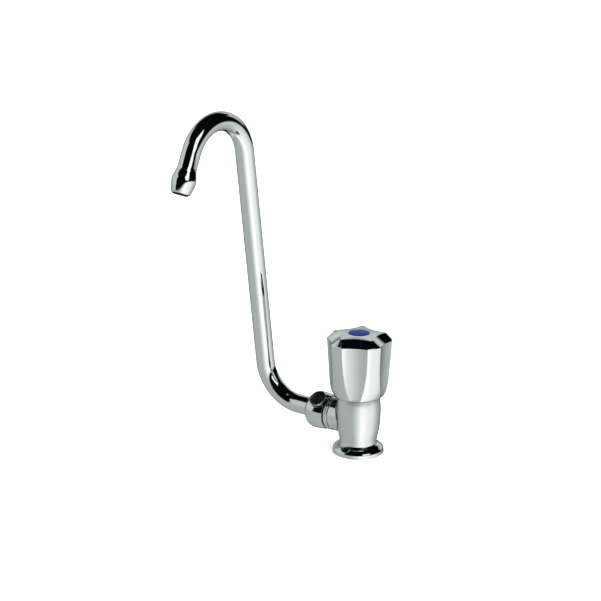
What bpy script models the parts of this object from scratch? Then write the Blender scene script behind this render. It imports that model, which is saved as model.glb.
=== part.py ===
"""Cold water tap with a folding spout, modelled piece by piece.

Frame: metres, +Z up. The origin is on the tap's upright axis, in the plane of the foot's underside, which is the
worktop's top face. The side stub points along -X, and the spout hooks over towards -Y. The worktop would lie between
Z = 0 and Z = -16 mm.
"""

import math

import bmesh
import bpy
from mathutils import Matrix, Vector

MM = 0.001
GAP = 0.3                    # clearance left between touching pieces, mm

# ---------------------------------------------------------------- driving dimensions, mm
FOOT_R = 17.0                # rounded foot of the body casting
FOOT_RIM_H = 1.9
FOOT_ROUND = 2.6             # radius of the foot's shoulder above its rim
FOOT_SLOPE = (45.0, 65.0)    # how the slope above it turns, degrees from level to upright normals
WAIST_R = 12.7               # where that slope meets the barrel
BODY_TOP_Z = 39.0
BODY_TOP_R = 14.1
CHAMBER_R = 9.0
CHAMBER_Z0 = 13.0
SEAT_Z = 15.0
SEAT_BORE_R = 4.5
BONNET_BORE_R = 10.0
BONNET_BORE_Z0 = 28.0

STUB_Z = 22.2                # height of the spout's folding axis
STUB_R = 11.0
STUB_END = 18.1              # distance of the stub's face from the tap's axis
COLLAR_R = 11.3
COLLAR_END = 21.4
KNUCKLE_START = 22.3
KNUCKLE_END = 38.9
KNUCKLE_NECK = 11.25         # radius at the collar, from where the knuckle swells
KNUCKLE_WIDE, WIDE_AT = 12.35, 31.0
DOME_START = 32.6            # where its round end begins
DOME_R = (6.3, 6.1)          # the round end's two radii, across and along the axis
SPIGOT_R = 7.5
SPIGOT_END = 34.2
SPIGOT_BORE_R = 4.0
GUIDE_GROOVE = (26.2, 29.4)  # groove that the retaining screw's tip runs in
SCREW_S = 27.8               # distance of the retaining screw from the tap's axis
SCREW_LEAN = -36.87          # the screw leans this far from upright, towards -Y

TUBE_R = 6.35                # half-inch spout tube
TUBE_WALL = 0.9
TUBE_START = 36.0            # the tube is brazed into the knuckle from here
BEND_START = 50.2            # where the first bend begins
BEND_R = 26.1                # the bend at the foot of the spout, a quarter turn
SPOUT_SWING = -7.8           # at rest the spout stands this far from upright, towards -Y
UPRIGHT_LEN = 151.5
HOOK_R = 27.8                # the hook bends square to the first bend
HOOK_TURN = 148.0
LEG_LEN = 26.5
FOLD_FORWARD = 62.0          # how far the spout swings on towards -Y
FOLD_BACK = 97.8             # and back towards +Y, where it lies level

HANDLE_BOTTOM = 39.3
HANDLE_BEVEL = 77.7
HANDLE_TOP = 82.0
HANDLE_LOBES = 5
LOBE_ANGLE = 46.3            # direction of the first lobe, degrees from +X
FLUTE_ARC_R = 35.7           # radius of each flute's hollow
INDICATOR_R = 7.25

VALVE_LIFT = 3.0             # rise of the valve carrier over one and a half turns of the handle

SHANK_R = 10.45              # half-inch pipe thread
WORKTOP = 16.0


# ---------------------------------------------------------------- helpers
def clear_scene():
    for o in list(bpy.data.objects):
        bpy.data.objects.remove(o, do_unlink=True)


def material(name, rgb, rough, metal):
    m = bpy.data.materials.new(name)
    m.use_nodes = True
    p = m.node_tree.nodes["Principled BSDF"]
    p.inputs["Base Color"].default_value = (*rgb, 1.0)
    p.inputs["Roughness"].default_value = rough
    p.inputs["Metallic"].default_value = metal
    m.diffuse_color = (*rgb, 1.0)
    return m


CHROME = ((0.80, 0.81, 0.82), 0.05, 1.0)
BRASS = ((0.72, 0.55, 0.25), 0.30, 1.0)
STEEL = ((0.62, 0.62, 0.63), 0.25, 1.0)
RUBBER = ((0.02, 0.02, 0.02), 0.70, 0.0)


def scaled(v):
    return Vector(v) * MM


def make_object(name, bm, look, parent=None, frame=None):
    """A mesh object named name; frame carries its own coordinates to the world."""
    bmesh.ops.remove_doubles(bm, verts=bm.verts, dist=1e-7)
    bmesh.ops.recalc_face_normals(bm, faces=bm.faces)
    mesh = bpy.data.meshes.new(name)
    bm.to_mesh(mesh)
    bm.free()
    mesh.shade_smooth()
    mesh.set_sharp_from_angle(angle=math.radians(32))
    mesh.materials.append(material(name, *look))
    o = bpy.data.objects.new(name, mesh)
    bpy.context.scene.collection.objects.link(o)
    if parent is not None:
        o.parent = parent
    o.matrix_local = frame if frame is not None else Matrix.Identity(4)
    return o


def spun(profile, steps, closed=True, phase=0.0):
    """Turns a profile of (radius, height) points, in mm, about Z.

    A closed profile makes a ring; an open one must start and end on the axis."""
    bm = bmesh.new()
    c, s = math.cos(phase), math.sin(phase)
    vs = [bm.verts.new(scaled((r * c, r * s, z))) for r, z in profile]
    es = [bm.edges.new((a, b)) for a, b in zip(vs, vs[1:])]
    if closed:
        es.append(bm.edges.new((vs[-1], vs[0])))
    bmesh.ops.spin(bm, geom=vs + es, cent=(0, 0, 0), axis=(0, 0, 1), angle=2 * math.pi, steps=steps,
                   use_merge=True, use_duplicate=False)
    bmesh.ops.remove_doubles(bm, verts=bm.verts, dist=1e-7)
    return bm


def lofted(sections, ring=False):
    """Joins equal loops of points (mm) with faces; a ring joins the last to the first, else both ends are capped."""
    bm = bmesh.new()
    loops = [[bm.verts.new(scaled(p)) for p in s] for s in sections]
    n = len(loops[0])
    pairs = list(zip(loops, loops[1:]))
    if ring:
        pairs.append((loops[-1], loops[0]))
    for a, b in pairs:
        for i in range(n):
            j = (i + 1) % n
            bm.faces.new((a[i], a[j], b[j], b[i]))
    if not ring:
        bm.faces.new(loops[0])
        bm.faces.new(loops[-1])
    return bm


def sections_about_z(rings, n, phase=0.0):
    """Rings of (radius or function of angle, height) as loops of n points."""
    out = []
    for r, z in rings:
        loop = []
        for i in range(n):
            a = phase + 2 * math.pi * i / n
            q = r(a) if callable(r) else r
            loop.append((q * math.cos(a), q * math.sin(a), z))
        out.append(loop)
    return out


def hexagon(across_flats):
    def r(a):
        d = (a + math.pi / 6) % (math.pi / 3) - math.pi / 6
        return across_flats / 2 / math.cos(d)
    return r


def splined(crest, root, teeth=12):
    """Radius of a toothed section, for loops of two points a tooth."""
    def r(a):
        return root if round(a / math.pi * teeth) % 2 else crest
    return r


def cutter(name, bm, parent=None, frame=None):
    bmesh.ops.remove_doubles(bm, verts=bm.verts, dist=1e-7)
    bmesh.ops.recalc_face_normals(bm, faces=bm.faces)
    mesh = bpy.data.meshes.new(name)
    bm.to_mesh(mesh)
    bm.free()
    o = bpy.data.objects.new(name, mesh)
    bpy.context.scene.collection.objects.link(o)
    if parent is not None:
        o.parent = parent
    o.matrix_local = frame if frame is not None else Matrix.Identity(4)
    o.hide_render = True
    o.display_type = "WIRE"
    return o


def boolean(target, tool, operation):
    m = target.modifiers.new(operation.lower() + "_" + tool.name, "BOOLEAN")
    m.operation = operation
    m.object = tool
    m.solver = "EXACT"
    return m


def empty(name, matrix):
    e = bpy.data.objects.new(name, None)
    bpy.context.scene.collection.objects.link(e)
    e.matrix_world = matrix
    e.empty_display_size = 0.01
    return e


def cylinder_profile(r, z0, z1):
    return [(0, z0), (r, z0), (r, z1), (0, z1)]


def torus_profile(r_mid, z_mid, r_half, z_half, n=6):
    """Section of a round seal: an oval of n points."""
    return [(r_mid + r_half * math.cos(2 * math.pi * i / n), z_mid + z_half * math.sin(2 * math.pi * i / n))
            for i in range(n)]


def interpolate(table, x):
    if x <= table[0][0]:
        return table[0][1]
    for (x0, y0), (x1, y1) in zip(table, table[1:]):
        if x <= x1:
            return y0 + (y1 - y0) * (x - x0) / (x1 - x0)
    return table[-1][1]


# ---------------------------------------------------------------- frames
clear_scene()
UPRIGHT = empty("axis_of_handle_and_valve", Matrix.Identity(4))
# The folding axis: its own Z runs outward along -X, its own X points up, its own Y is the tap's +Y.
FOLD_MATRIX = Matrix(((0, 0, -1, 0), (0, 1, 0, 0), (1, 0, 0, STUB_Z * MM), (0, 0, 0, 1)))
FOLD = empty("axis_of_fold", FOLD_MATRIX)


# ---------------------------------------------------------------- body casting
def body_outline():
    """Outer profile of the turned body, from the underside's centre to the top's centre."""
    pts = [(0, 0), (FOOT_R - 0.9, 0), (FOOT_R - 0.25, 0.3), (FOOT_R, 0.9), (FOOT_R, FOOT_RIM_H)]
    low, high = (math.radians(a) for a in FOOT_SLOPE)
    for i in range(1, 5):
        a = low * i / 4
        pts.append((FOOT_R - FOOT_ROUND + FOOT_ROUND * math.cos(a), FOOT_RIM_H + FOOT_ROUND * math.sin(a)))
    r, z = pts[-1]
    wide = (r - WAIST_R) / (math.cos(low) - math.cos(high))
    for i in range(1, 5):
        a = low + (high - low) * i / 4
        pts.append((r - wide * (math.cos(low) - math.cos(a)), z + wide * (math.sin(a) - math.sin(low))))
    pts += [(12.4, pts[-1][1] + 0.35), (12.45, 9.4), (13.05, 12.4), (13.85, 16.2), (14.4, 20.0), (14.8, 25.5), (14.9, 31.0),
            (14.6, 35.6), (BODY_TOP_R + 0.1, 38.4), (BODY_TOP_R - 0.3, BODY_TOP_Z), (0, BODY_TOP_Z)]
    return pts


def bore_outline():
    """Everything that is bored out from above and below: the shank's thread, the waterway, the seat, the chamber."""
    return [(0, -1), (8.6, -1), (8.6, 9.3), (SEAT_BORE_R, 9.3), (SEAT_BORE_R, SEAT_Z), (6.1, SEAT_Z),
            (6.6, CHAMBER_Z0), (CHAMBER_R, CHAMBER_Z0), (CHAMBER_R, BONNET_BORE_Z0), (BONNET_BORE_R, BONNET_BORE_Z0 + 0.8),
            (BONNET_BORE_R, 37.4), (12.3, 37.4), (12.3, BODY_TOP_Z + 1), (0, BODY_TOP_Z + 1)]


tap_body = make_object("tap_body", spun(body_outline(), 36, closed=False), CHROME)
stub = cutter("stub_blank", spun([(0, 7.0), (STUB_R, 7.0), (STUB_R, STUB_END - 0.35), (STUB_R - 0.35, STUB_END),
                                  (0, STUB_END)], 28, closed=False, phase=0.05), FOLD)
boolean(tap_body, stub, "UNION")
bores = cutter("body_bores", spun(bore_outline(), 24, closed=False, phase=0.03))
boolean(tap_body, bores, "DIFFERENCE")
side_bore = cutter("stub_bores", spun([(0, 4.0), (SEAT_BORE_R, 4.0), (SEAT_BORE_R, 11.0), (6.8, 11.0), (6.8, 16.2),
                                       (8.4, 16.2), (8.4, STUB_END + 1), (0, STUB_END + 1)], 22, closed=False, phase=0.02), FOLD)
boolean(tap_body, side_bore, "DIFFERENCE")
seal_recess = cutter("foot_recess", spun([(12.0, -1), (15.6, -1), (15.6, 1.3), (12.0, 1.3)], 28, phase=0.02))
boolean(tap_body, seal_recess, "DIFFERENCE")

make_object("foot_seal", spun([(12.3, 0), (15.3, 0), (15.3, 1.0), (12.3, 1.0)], 28), RUBBER)


# ---------------------------------------------------------------- inlet and worktop fixing
def shank_profile():
    barbs = []
    z = -33.0
    for _ in range(3):
        barbs += [(6.4, z), (5.5, z - 4.2)]
        z -= 4.2
    return [(4.2, 9.0), (4.2, z - 0.8), (5.0, z - 0.8)] + [(r, q) for r, q in reversed(barbs)] + \
        [(6.4, -32.0), (SHANK_R - 0.6, -32.0), (SHANK_R, -31.2), (SHANK_R, -GAP), (8.3, -GAP), (8.3, 8.4), (7.9, 9.0)]


make_object("inlet_shank", spun(shank_profile(), 24), BRASS)
top = -WORKTOP - GAP
make_object("clamp_washer_rubber", spun([(10.9, top - 2.0), (15.6, top - 2.0), (15.6, top), (10.9, top)], 24), RUBBER)
top -= 2.0 + GAP
make_object("clamp_washer_steel", spun([(10.9, top - 1.2), (16.0, top - 1.2), (16.0, top), (10.9, top)], 24), STEEL)
top -= 1.2 + GAP
make_object("backnut", lofted(sections_about_z([(10.8, top), (10.8, top - 7.0), (12.8, top - 7.0), (hexagon(27), top - 6.4),
                                                (hexagon(27), top - 0.6), (12.8, top)], 24), ring=True), BRASS)


# ---------------------------------------------------------------- valve
make_object("seat_washer", spun([(1.9, SEAT_Z + GAP), (6.6, SEAT_Z + GAP), (6.6, 18.1), (1.9, 18.1)], 20), RUBBER, UPRIGHT)
make_object("washer_screw", spun([(0, 13.2), (2.4, 13.2), (3.0, 13.7), (3.0, SEAT_Z), (1.5, SEAT_Z), (1.5, 22.2), (0, 22.2)], 14,
                                 closed=False), BRASS, UPRIGHT)
make_object("valve_carrier", lofted(sections_about_z([
    (1.8, 18.4), (1.8, 22.6), (4.0, 24.4), (4.0, 34.0), (hexagon(12.3), 34.0), (hexagon(12.3), 20.4), (6.9, 20.0), (6.9, 18.4)],
    24), ring=True), BRASS, UPRIGHT)

make_object("bonnet_seal", spun([(10.3, 37.7), (11.9, 37.7), (11.9, 38.7), (10.3, 38.7)], 28), RUBBER)
make_object("valve_bonnet", lofted(sections_about_z([
    (hexagon(12.9), 28.3), (hexagon(12.9), 38.0), (5.9, 38.0), (5.9, 40.6), (4.8, 40.6), (4.8, 54.2), (5.1, 54.5), (6.4, 54.5),
    (6.6, 54.2), (6.6, 45.5), (hexagon(18.4), 45.5), (hexagon(19.0), 45.0), (hexagon(19.0), 40.6), (12.0, 40.6), (12.0, 39.0),
    (9.7, 39.0), (9.7, 28.9), (9.2, 28.3)], 24), ring=True), BRASS)

make_object("spindle", lofted(sections_about_z([
    (0.35, 61.0), (2.3, 62.2), (2.3, 73.0), (splined(3.7, 3.5), 73.0), (splined(4.1, 3.7), 72.5), (splined(4.1, 3.7), 57.4),
    (4.5, 57.0), (4.5, 56.0), (3.4, 56.0), (3.4, 54.8), (4.5, 54.8), (4.5, 50.6), (3.1, 50.6), (3.1, 48.6), (4.5, 48.6),
    (4.5, 46.2), (3.1, 46.2), (3.1, 44.2), (4.5, 44.2), (4.5, 40.3), (5.6, 40.3), (5.6, 38.3), (3.7, 38.3), (3.7, 28.8),
    (3.2, 28.2)], 24)), BRASS, UPRIGHT)
for label, z in (("lower", 45.2), ("upper", 49.6)):
    make_object("spindle_seal_" + label, spun(torus_profile(3.95, z, 0.55, 0.6), 18), RUBBER, UPRIGHT)


def clip_sections():
    out = []
    for i in range(17):
        a = math.radians(-60 + i * 300 / 16)
        c, s = math.cos(a), math.sin(a)
        out.append([(r * c, r * s, z) for r, z in ((3.7, 55.0), (6.1, 55.0), (6.1, 55.8), (3.7, 55.8))])
    return out


make_object("spindle_clip", lofted(clip_sections()), STEEL, UPRIGHT)


# ---------------------------------------------------------------- handle
LOBE_TABLE = ((39.3, 15.9), (39.8, 16.6), (41.0, 17.45), (42.8, 18.2), (45.2, 18.95), (48.3, 19.5), (53.0, 20.0),
              (60.0, 20.6), (69.0, 21.3), (77.7, 21.85))
FLUTE_DEPTH = ((39.3, 0.45), (43.8, 0.85), (50.3, 1.6), (60.0, 2.4), (69.0, 2.7), (77.7, 2.8))
LOBE_PTS, FLUTE_PTS = 3, 5
RING_N = HANDLE_LOBES * (LOBE_PTS + FLUTE_PTS)


def flute_half_angle(lobe_r, depth):
    """Half the angle that a flute takes where its hollow cuts the round of the lobes."""
    centre = lobe_r - depth
    t = 0.3
    for _ in range(30):
        sag = (lobe_r * math.sin(t)) ** 2 / (2 * FLUTE_ARC_R)
        t = math.acos(min(1.0, (centre + sag) / lobe_r))
    return t


def handle_loop(z, lobe_r, depth, corner=0.0):
    """One section of the handle: round lobes with a hollow flute between each two. corner 1 draws each lobe to a point."""
    half = flute_half_angle(lobe_r, depth)
    loop = []
    step = 2 * math.pi / HANDLE_LOBES
    for k in range(HANDLE_LOBES):
        lobe = math.radians(LOBE_ANGLE) + k * step
        lobe_half = (step / 2 - half) * (1 - corner)
        for i in range(LOBE_PTS):
            a = lobe - lobe_half + 2 * lobe_half * i / LOBE_PTS
            loop.append((lobe_r * math.cos(a), lobe_r * math.sin(a), z))
        start, end = lobe + lobe_half, lobe + step - lobe_half
        mid = (start + end) / 2
        h = (end - start) / 2
        chord_x = lobe_r * math.cos(h)
        chord_y = lobe_r * math.sin(h)
        hollow = chord_x - (lobe_r - depth)
        for i in range(FLUTE_PTS):
            u = -1 + 2 * i / FLUTE_PTS
            rx = chord_x - hollow * (1 - u * u)
            ry = chord_y * u
            loop.append((rx * math.cos(mid) - ry * math.sin(mid), rx * math.sin(mid) + ry * math.cos(mid), z))
    return loop


def even_loop(r, z):
    """A round section whose points line up with the lobes' and flutes' own."""
    out = []
    for i in range(RING_N):
        a = math.radians(LOBE_ANGLE - 13) + 2 * math.pi * i / RING_N
        out.append((r * math.cos(a), r * math.sin(a), z))
    return out


def handle_sections():
    out = []
    for z, _ in LOBE_TABLE:
        out.append(handle_loop(z, interpolate(LOBE_TABLE, z), interpolate(FLUTE_DEPTH, z)))
    # the bevel: the section draws in to a five-cornered top with hollow sides
    out.append(handle_loop(HANDLE_TOP, 17.8, 5.3, corner=0.7))
    out.append(even_loop(9.0, HANDLE_TOP + 0.5))
    out.append(even_loop(7.6, HANDLE_TOP + 0.55))
    out.append(even_loop(7.55, 79.5))                  # pocket for the indicator
    out.append(even_loop(4.7, 79.5))
    out.append(even_loop(4.7, 76.0))                   # pocket for the screw's head
    out.append(even_loop(2.4, 76.0))
    out.append(even_loop(2.4, 58.0))
    out.append(even_loop(7.4, 58.0))                   # hub
    out.append(even_loop(7.8, 74.4))
    out.append(even_loop(15.0, 74.4))
    out.append(even_loop(15.7, 72.6))
    out.append(even_loop(15.2, 47.0))                  # hollow shell round the valve's bonnet
    out.append(even_loop(13.8, 43.0))
    out.append(even_loop(12.7, 40.6))
    out.append(even_loop(12.7, HANDLE_BOTTOM))
    return out


handle = make_object("handle", lofted(handle_sections(), ring=True), CHROME, UPRIGHT)
boolean(handle, cutter("handle_socket", lofted(sections_about_z([
    (5.2, 57.0), (4.7, 58.6), (splined(4.4, 4.0), 59.0), (splined(4.4, 4.0), 73.4)], 24)), UPRIGHT), "DIFFERENCE")

handle_screw = make_object("handle_screw", spun([(0, 63.2), (1.6, 63.2), (2.0, 63.8), (2.0, 76.3), (3.9, 76.3), (3.9, 77.8),
                                                 (3.2, 78.7), (0, 79.0)], 16, closed=False), STEEL, UPRIGHT)
bm = bmesh.new()
bmesh.ops.create_cube(bm, size=1.0)
bmesh.ops.scale(bm, vec=scaled((9.0, 1.0, 2.4)), verts=bm.verts)
boolean(handle_screw, cutter("screw_slot", bm, UPRIGHT, Matrix.Translation(scaled((0, 0, 78.9)))), "DIFFERENCE")

make_object("cold_indicator", spun([(0, 81.4), (6.3, 81.4), (6.3, 79.8), (INDICATOR_R, 79.8), (INDICATOR_R, 82.35),
                                    (INDICATOR_R - 0.3, 82.6), (4.5, 82.85), (0, 83.0)], 28, closed=False),
            ((0.06, 0.06, 0.32), 0.3, 0.0), UPRIGHT)


# ---------------------------------------------------------------- swivel joint of the folding spout
g0, g1 = GUIDE_GROOVE
swivel_spigot = make_object("swivel_spigot", spun([
    (SPIGOT_BORE_R, 11.4), (6.1, 11.4), (6.5, 11.8), (6.5, STUB_END + GAP), (COLLAR_R - 0.3, STUB_END + GAP),
    (COLLAR_R, STUB_END + 0.6), (COLLAR_R, STUB_END + 1.45), (COLLAR_R - 0.5, STUB_END + 1.75), (COLLAR_R, STUB_END + 2.05),
    (COLLAR_R, COLLAR_END - 0.3), (COLLAR_R - 0.3, COLLAR_END), (SPIGOT_R, COLLAR_END),
    (SPIGOT_R, 23.2), (5.9, 23.2), (5.9, 25.2), (SPIGOT_R, 25.2),
    (SPIGOT_R, 30.2), (5.9, 30.2), (5.9, 32.2), (SPIGOT_R, 32.2),
    (SPIGOT_R, SPIGOT_END - 0.6), (SPIGOT_R - 0.6, SPIGOT_END), (SPIGOT_BORE_R, SPIGOT_END)], 26), CHROME, FOLD)


def groove_sections():
    """The guide groove: it runs round the spigot only as far as the fold does, so its ends stop the spout."""
    out = []
    first = SCREW_LEAN - FOLD_FORWARD - 14
    last = SCREW_LEAN + FOLD_BACK + 14
    for i in range(33):
        a = math.radians(first + (last - first) * i / 32)
        c, s = math.cos(a), math.sin(a)
        out.append([(r * c, r * s, z) for r, z in ((6.0, g0), (9.0, g0), (9.0, g1), (6.0, g1))])
    return out


boolean(swivel_spigot, cutter("guide_groove", lofted(groove_sections()), FOLD), "DIFFERENCE")

make_object("spigot_thread_seal", spun(torus_profile(7.6, 17.1, 0.6, 0.7), 20), RUBBER, FOLD)
make_object("swivel_seal_outer", spun(torus_profile(6.85, 24.2, 0.65, 0.7), 20), RUBBER, FOLD)
make_object("swivel_seal_inner", spun(torus_profile(6.85, 31.2, 0.65, 0.7), 20), RUBBER, FOLD)
make_object("swivel_washer", spun([(7.9, COLLAR_END + GAP), (COLLAR_R - 0.35, COLLAR_END + GAP), (COLLAR_R - 0.35, KNUCKLE_START - GAP),
                                   (7.9, KNUCKLE_START - GAP)], 28), ((0.05, 0.05, 0.05), 0.5, 0.0), FOLD)


def knuckle_profile():
    """Bored from the collar's side for the spigot, and from the far side for the tube; its far end is a dome."""
    outer = [(KNUCKLE_NECK - 0.3, KNUCKLE_START)]
    for d in (KNUCKLE_START + 0.3, 24.4, 26.6, 28.8, WIDE_AT):
        outer.append((KNUCKLE_WIDE - (KNUCKLE_WIDE - KNUCKLE_NECK) * ((WIDE_AT - d) / (WIDE_AT - KNUCKLE_START)) ** 2, d))
    n = 6
    for i in range(n + 1):
        a = math.radians(80) * i / n
        outer.append((KNUCKLE_WIDE - DOME_R[0] * (1 - math.cos(a)), DOME_START + DOME_R[1] * math.sin(a)))
    outer.append((7.05, KNUCKLE_END))
    inner = [(6.65, KNUCKLE_END), (6.65, 35.7), (5.0, 35.7), (5.0, 35.2), (7.8, 34.7), (7.8, KNUCKLE_START)]
    return outer + inner


knuckle = make_object("spout_knuckle", spun(knuckle_profile(), 30), CHROME, FOLD)

# The retaining screw: radial, so its own Z is turned from the fold axis' X towards its Y.
lean = math.radians(SCREW_LEAN)
RADIAL = Matrix.Translation(scaled((0, 0, SCREW_S))) @ Matrix.Rotation(lean, 4, "Z") @ Matrix.Rotation(math.radians(90), 4, "Y")
boolean(knuckle, cutter("screw_seat", spun([(0, 6.2), (2.8, 6.2), (2.8, 10.5), (5.7, 10.5), (5.7, 16), (0, 16)], 22, closed=False,
                                           phase=0.04), FOLD, RADIAL), "DIFFERENCE")
make_object("retaining_screw", spun([(0, 6.4), (1.3, 6.4), (1.3, 8.15), (2.5, 8.15), (2.5, 10.8), (5.3, 10.8), (5.3, 12.7),
                                     (5.8, 12.7), (5.8, 14.2), (5.5, 14.45), (0, 14.55)], 22, closed=False), CHROME, FOLD, RADIAL)


# ---------------------------------------------------------------- spout tube with its formed nozzle end
# The tube's own frame is the fold's, turned to where the spout stands: X runs up along the tube, the hook bends to -Y.
SWUNG = Matrix.Rotation(math.radians(SPOUT_SWING), 4, "Z")
UP, SIDE, OUT = Vector((1, 0, 0)), Vector((0, 1, 0)), Vector((0, 0, 1))


def spout_path(bend_steps=8, hook_steps=16):
    """The tube's centre line: points with their heading and the first of the two directions across it."""
    pts = [(OUT * TUBE_START, OUT, SIDE)]
    for i in range(bend_steps + 1):
        a = math.pi / 2 * i / bend_steps
        pts.append((OUT * (BEND_START + BEND_R * math.sin(a)) + UP * BEND_R * (1 - math.cos(a)),
                    OUT * math.cos(a) + UP * math.sin(a), SIDE))
    top = OUT * (BEND_START + BEND_R) + UP * (BEND_R + UPRIGHT_LEN)
    for i in range(hook_steps + 1):
        a = math.radians(HOOK_TURN) * i / hook_steps
        pts.append((top + UP * HOOK_R * math.sin(a) - SIDE * HOOK_R * (1 - math.cos(a)),
                    UP * math.cos(a) - SIDE * math.sin(a), SIDE * math.cos(a) + UP * math.sin(a)))
    return pts


# Distance up from the mouth against outer radius: the end is swelled, then rolled in over the insert.
NOZZLE = ((17.0, 6.35), (15.4, 6.6), (10.0, 7.9), (8.9, 8.05), (7.9, 7.9), (0.3, 6.25), (0.0, 6.0))
NOZZLE_BORE = ((17.0, 5.45), (15.4, 5.65), (10.0, 6.9), (7.8, 7.0), (2.5, 6.3), (1.0, 5.4), (0.0, 5.4))


def tube_loop(centre, heading, across, r, n=16):
    other = heading.cross(across)
    out = []
    for i in range(n):
        b = 2 * math.pi * i / n
        out.append(centre + across * r * math.cos(b) + other * r * math.sin(b))
    return out


def tube_sections():
    outer = [(*p, TUBE_R) for p in spout_path()]
    inner = [(*p, TUBE_R - TUBE_WALL) for p in spout_path(6, 11)]
    end, heading, across = outer[-1][:3]
    for t, r in NOZZLE:
        outer.append((end + heading * (LEG_LEN - t), heading, across, r))
    for t, r in NOZZLE_BORE:
        inner.append((end + heading * (LEG_LEN - t), heading, across, r))
    return [tube_loop(*p) for p in outer] + [tube_loop(*p) for p in reversed(inner)]


make_object("spout_tube", lofted(tube_sections(), ring=True), CHROME, FOLD, SWUNG)

end, heading, across = spout_path()[-1]
# the insert's own Z runs up into the tube from the mouth
NOZZLE_FRAME = SWUNG @ Matrix.Translation((end + heading * LEG_LEN) * MM) @ (-heading).to_track_quat("Z", "Y").to_matrix().to_4x4()
insert = make_object("flow_straightener", spun([(0, -0.3), (4.8, -0.3), (5.1, -0.1), (5.1, 1.7), (5.8, 3.2), (6.3, 6.8), (5.9, 7.4),
                                                (0, 7.4)], 20, closed=False), ((0.02, 0.02, 0.02), 0.4, 0.0), FOLD, NOZZLE_FRAME)
for k in range(7):
    if k == 0:
        x, y = 0.0, 0.0
    else:
        x, y = 3.2 * math.cos(k * math.pi / 3), 3.2 * math.sin(k * math.pi / 3)
    hole = cutter("jet_%d" % k, spun(cylinder_profile(1.1, -2, 9), 8, closed=False), FOLD,
                  NOZZLE_FRAME @ Matrix.Translation(scaled((x, y, 0))))
    boolean(insert, hole, "DIFFERENCE")
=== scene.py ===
"""Looks of the cold water tap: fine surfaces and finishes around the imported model."""
import math

import bmesh
import bpy
import numpy as np
from mathutils import Matrix, Vector


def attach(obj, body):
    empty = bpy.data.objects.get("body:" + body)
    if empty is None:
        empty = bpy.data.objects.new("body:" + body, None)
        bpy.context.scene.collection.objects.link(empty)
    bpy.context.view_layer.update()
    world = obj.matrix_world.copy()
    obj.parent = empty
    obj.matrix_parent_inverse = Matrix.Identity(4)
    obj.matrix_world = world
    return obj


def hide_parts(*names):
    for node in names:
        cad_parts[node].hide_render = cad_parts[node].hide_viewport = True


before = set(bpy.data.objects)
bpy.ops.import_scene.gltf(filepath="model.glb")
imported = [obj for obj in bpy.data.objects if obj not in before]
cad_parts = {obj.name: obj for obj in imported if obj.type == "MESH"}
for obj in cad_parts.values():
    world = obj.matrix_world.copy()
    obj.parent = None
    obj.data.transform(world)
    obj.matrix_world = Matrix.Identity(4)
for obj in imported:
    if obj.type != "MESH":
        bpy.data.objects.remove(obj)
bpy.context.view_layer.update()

MM = 0.001

# ---------------------------------------------------------------- sizes repeated from the model, mm
FOOT_R, FOOT_RIM_H, FOOT_ROUND = 17.0, 1.9, 2.6
FOOT_SLOPE, WAIST_R = (45.0, 65.0), 12.7
BODY_TOP_Z = 39.0
STUB_Z, STUB_R, STUB_END = 22.2, 11.0, 18.1
COLLAR_R, COLLAR_END = 11.3, 21.4
KNUCKLE_START, KNUCKLE_END = 22.3, 38.9
KNUCKLE_NECK, KNUCKLE_WIDE, WIDE_AT = 11.25, 12.35, 31.0
DOME_START, DOME_R = 32.6, (6.3, 6.1)
SPIGOT_R, SPIGOT_BORE_R, SPIGOT_END = 7.5, 4.0, 34.2
SCREW_S, SCREW_LEAN = 27.8, -36.87
TUBE_R, TUBE_WALL, TUBE_START = 6.35, 0.9, 36.0
BEND_START, BEND_R, SPOUT_SWING, UPRIGHT_LEN = 50.2, 26.1, -7.8, 151.5
HOOK_R, HOOK_TURN, LEG_LEN = 27.8, 148.0, 26.5
FOLD_FORWARD, FOLD_BACK = 62.0, 97.8
HANDLE_BOTTOM, HANDLE_BEVEL, HANDLE_TOP = 39.3, 77.7, 82.0
LOBES, LOBE_ANGLE, FLUTE_ARC_R = 5, 46.3, 35.7
SHANK_R, WORKTOP, GAP = 10.45, 16.0, 0.3

FOLD = Matrix(((0, 0, -1, 0), (0, 1, 0, 0), (1, 0, 0, STUB_Z * MM), (0, 0, 0, 1)))
RADIAL = FOLD @ Matrix.Translation((0, 0, SCREW_S * MM)) @ Matrix.Rotation(math.radians(SCREW_LEAN), 4, "Z") @ \
    Matrix.Rotation(math.radians(90), 4, "Y")
SWUNG = FOLD @ Matrix.Rotation(math.radians(SPOUT_SWING), 4, "Z")


# ---------------------------------------------------------------- mesh helpers
def mesh_of(name, points, faces, place=None, sharp=34.0):
    """A smooth-shaded mesh from points in mm; place carries them to the row frame."""
    p = np.asarray(points, float).reshape(-1, 3) * MM
    if place is not None:
        m = np.array(place)
        p = p @ m[:3, :3].T + m[:3, 3]
    me = bpy.data.meshes.new(name)
    me.from_pydata(p.tolist(), [], faces)
    bm = bmesh.new()
    bm.from_mesh(me)
    bmesh.ops.remove_doubles(bm, verts=bm.verts, dist=2e-7)
    bmesh.ops.dissolve_degenerate(bm, edges=bm.edges, dist=1e-7)
    bmesh.ops.recalc_face_normals(bm, faces=bm.faces)
    bm.to_mesh(me)
    bm.free()
    me.shade_smooth()
    me.set_sharp_from_angle(angle=math.radians(sharp))
    o = bpy.data.objects.new(name, me)
    bpy.context.scene.collection.objects.link(o)
    return o


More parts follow.
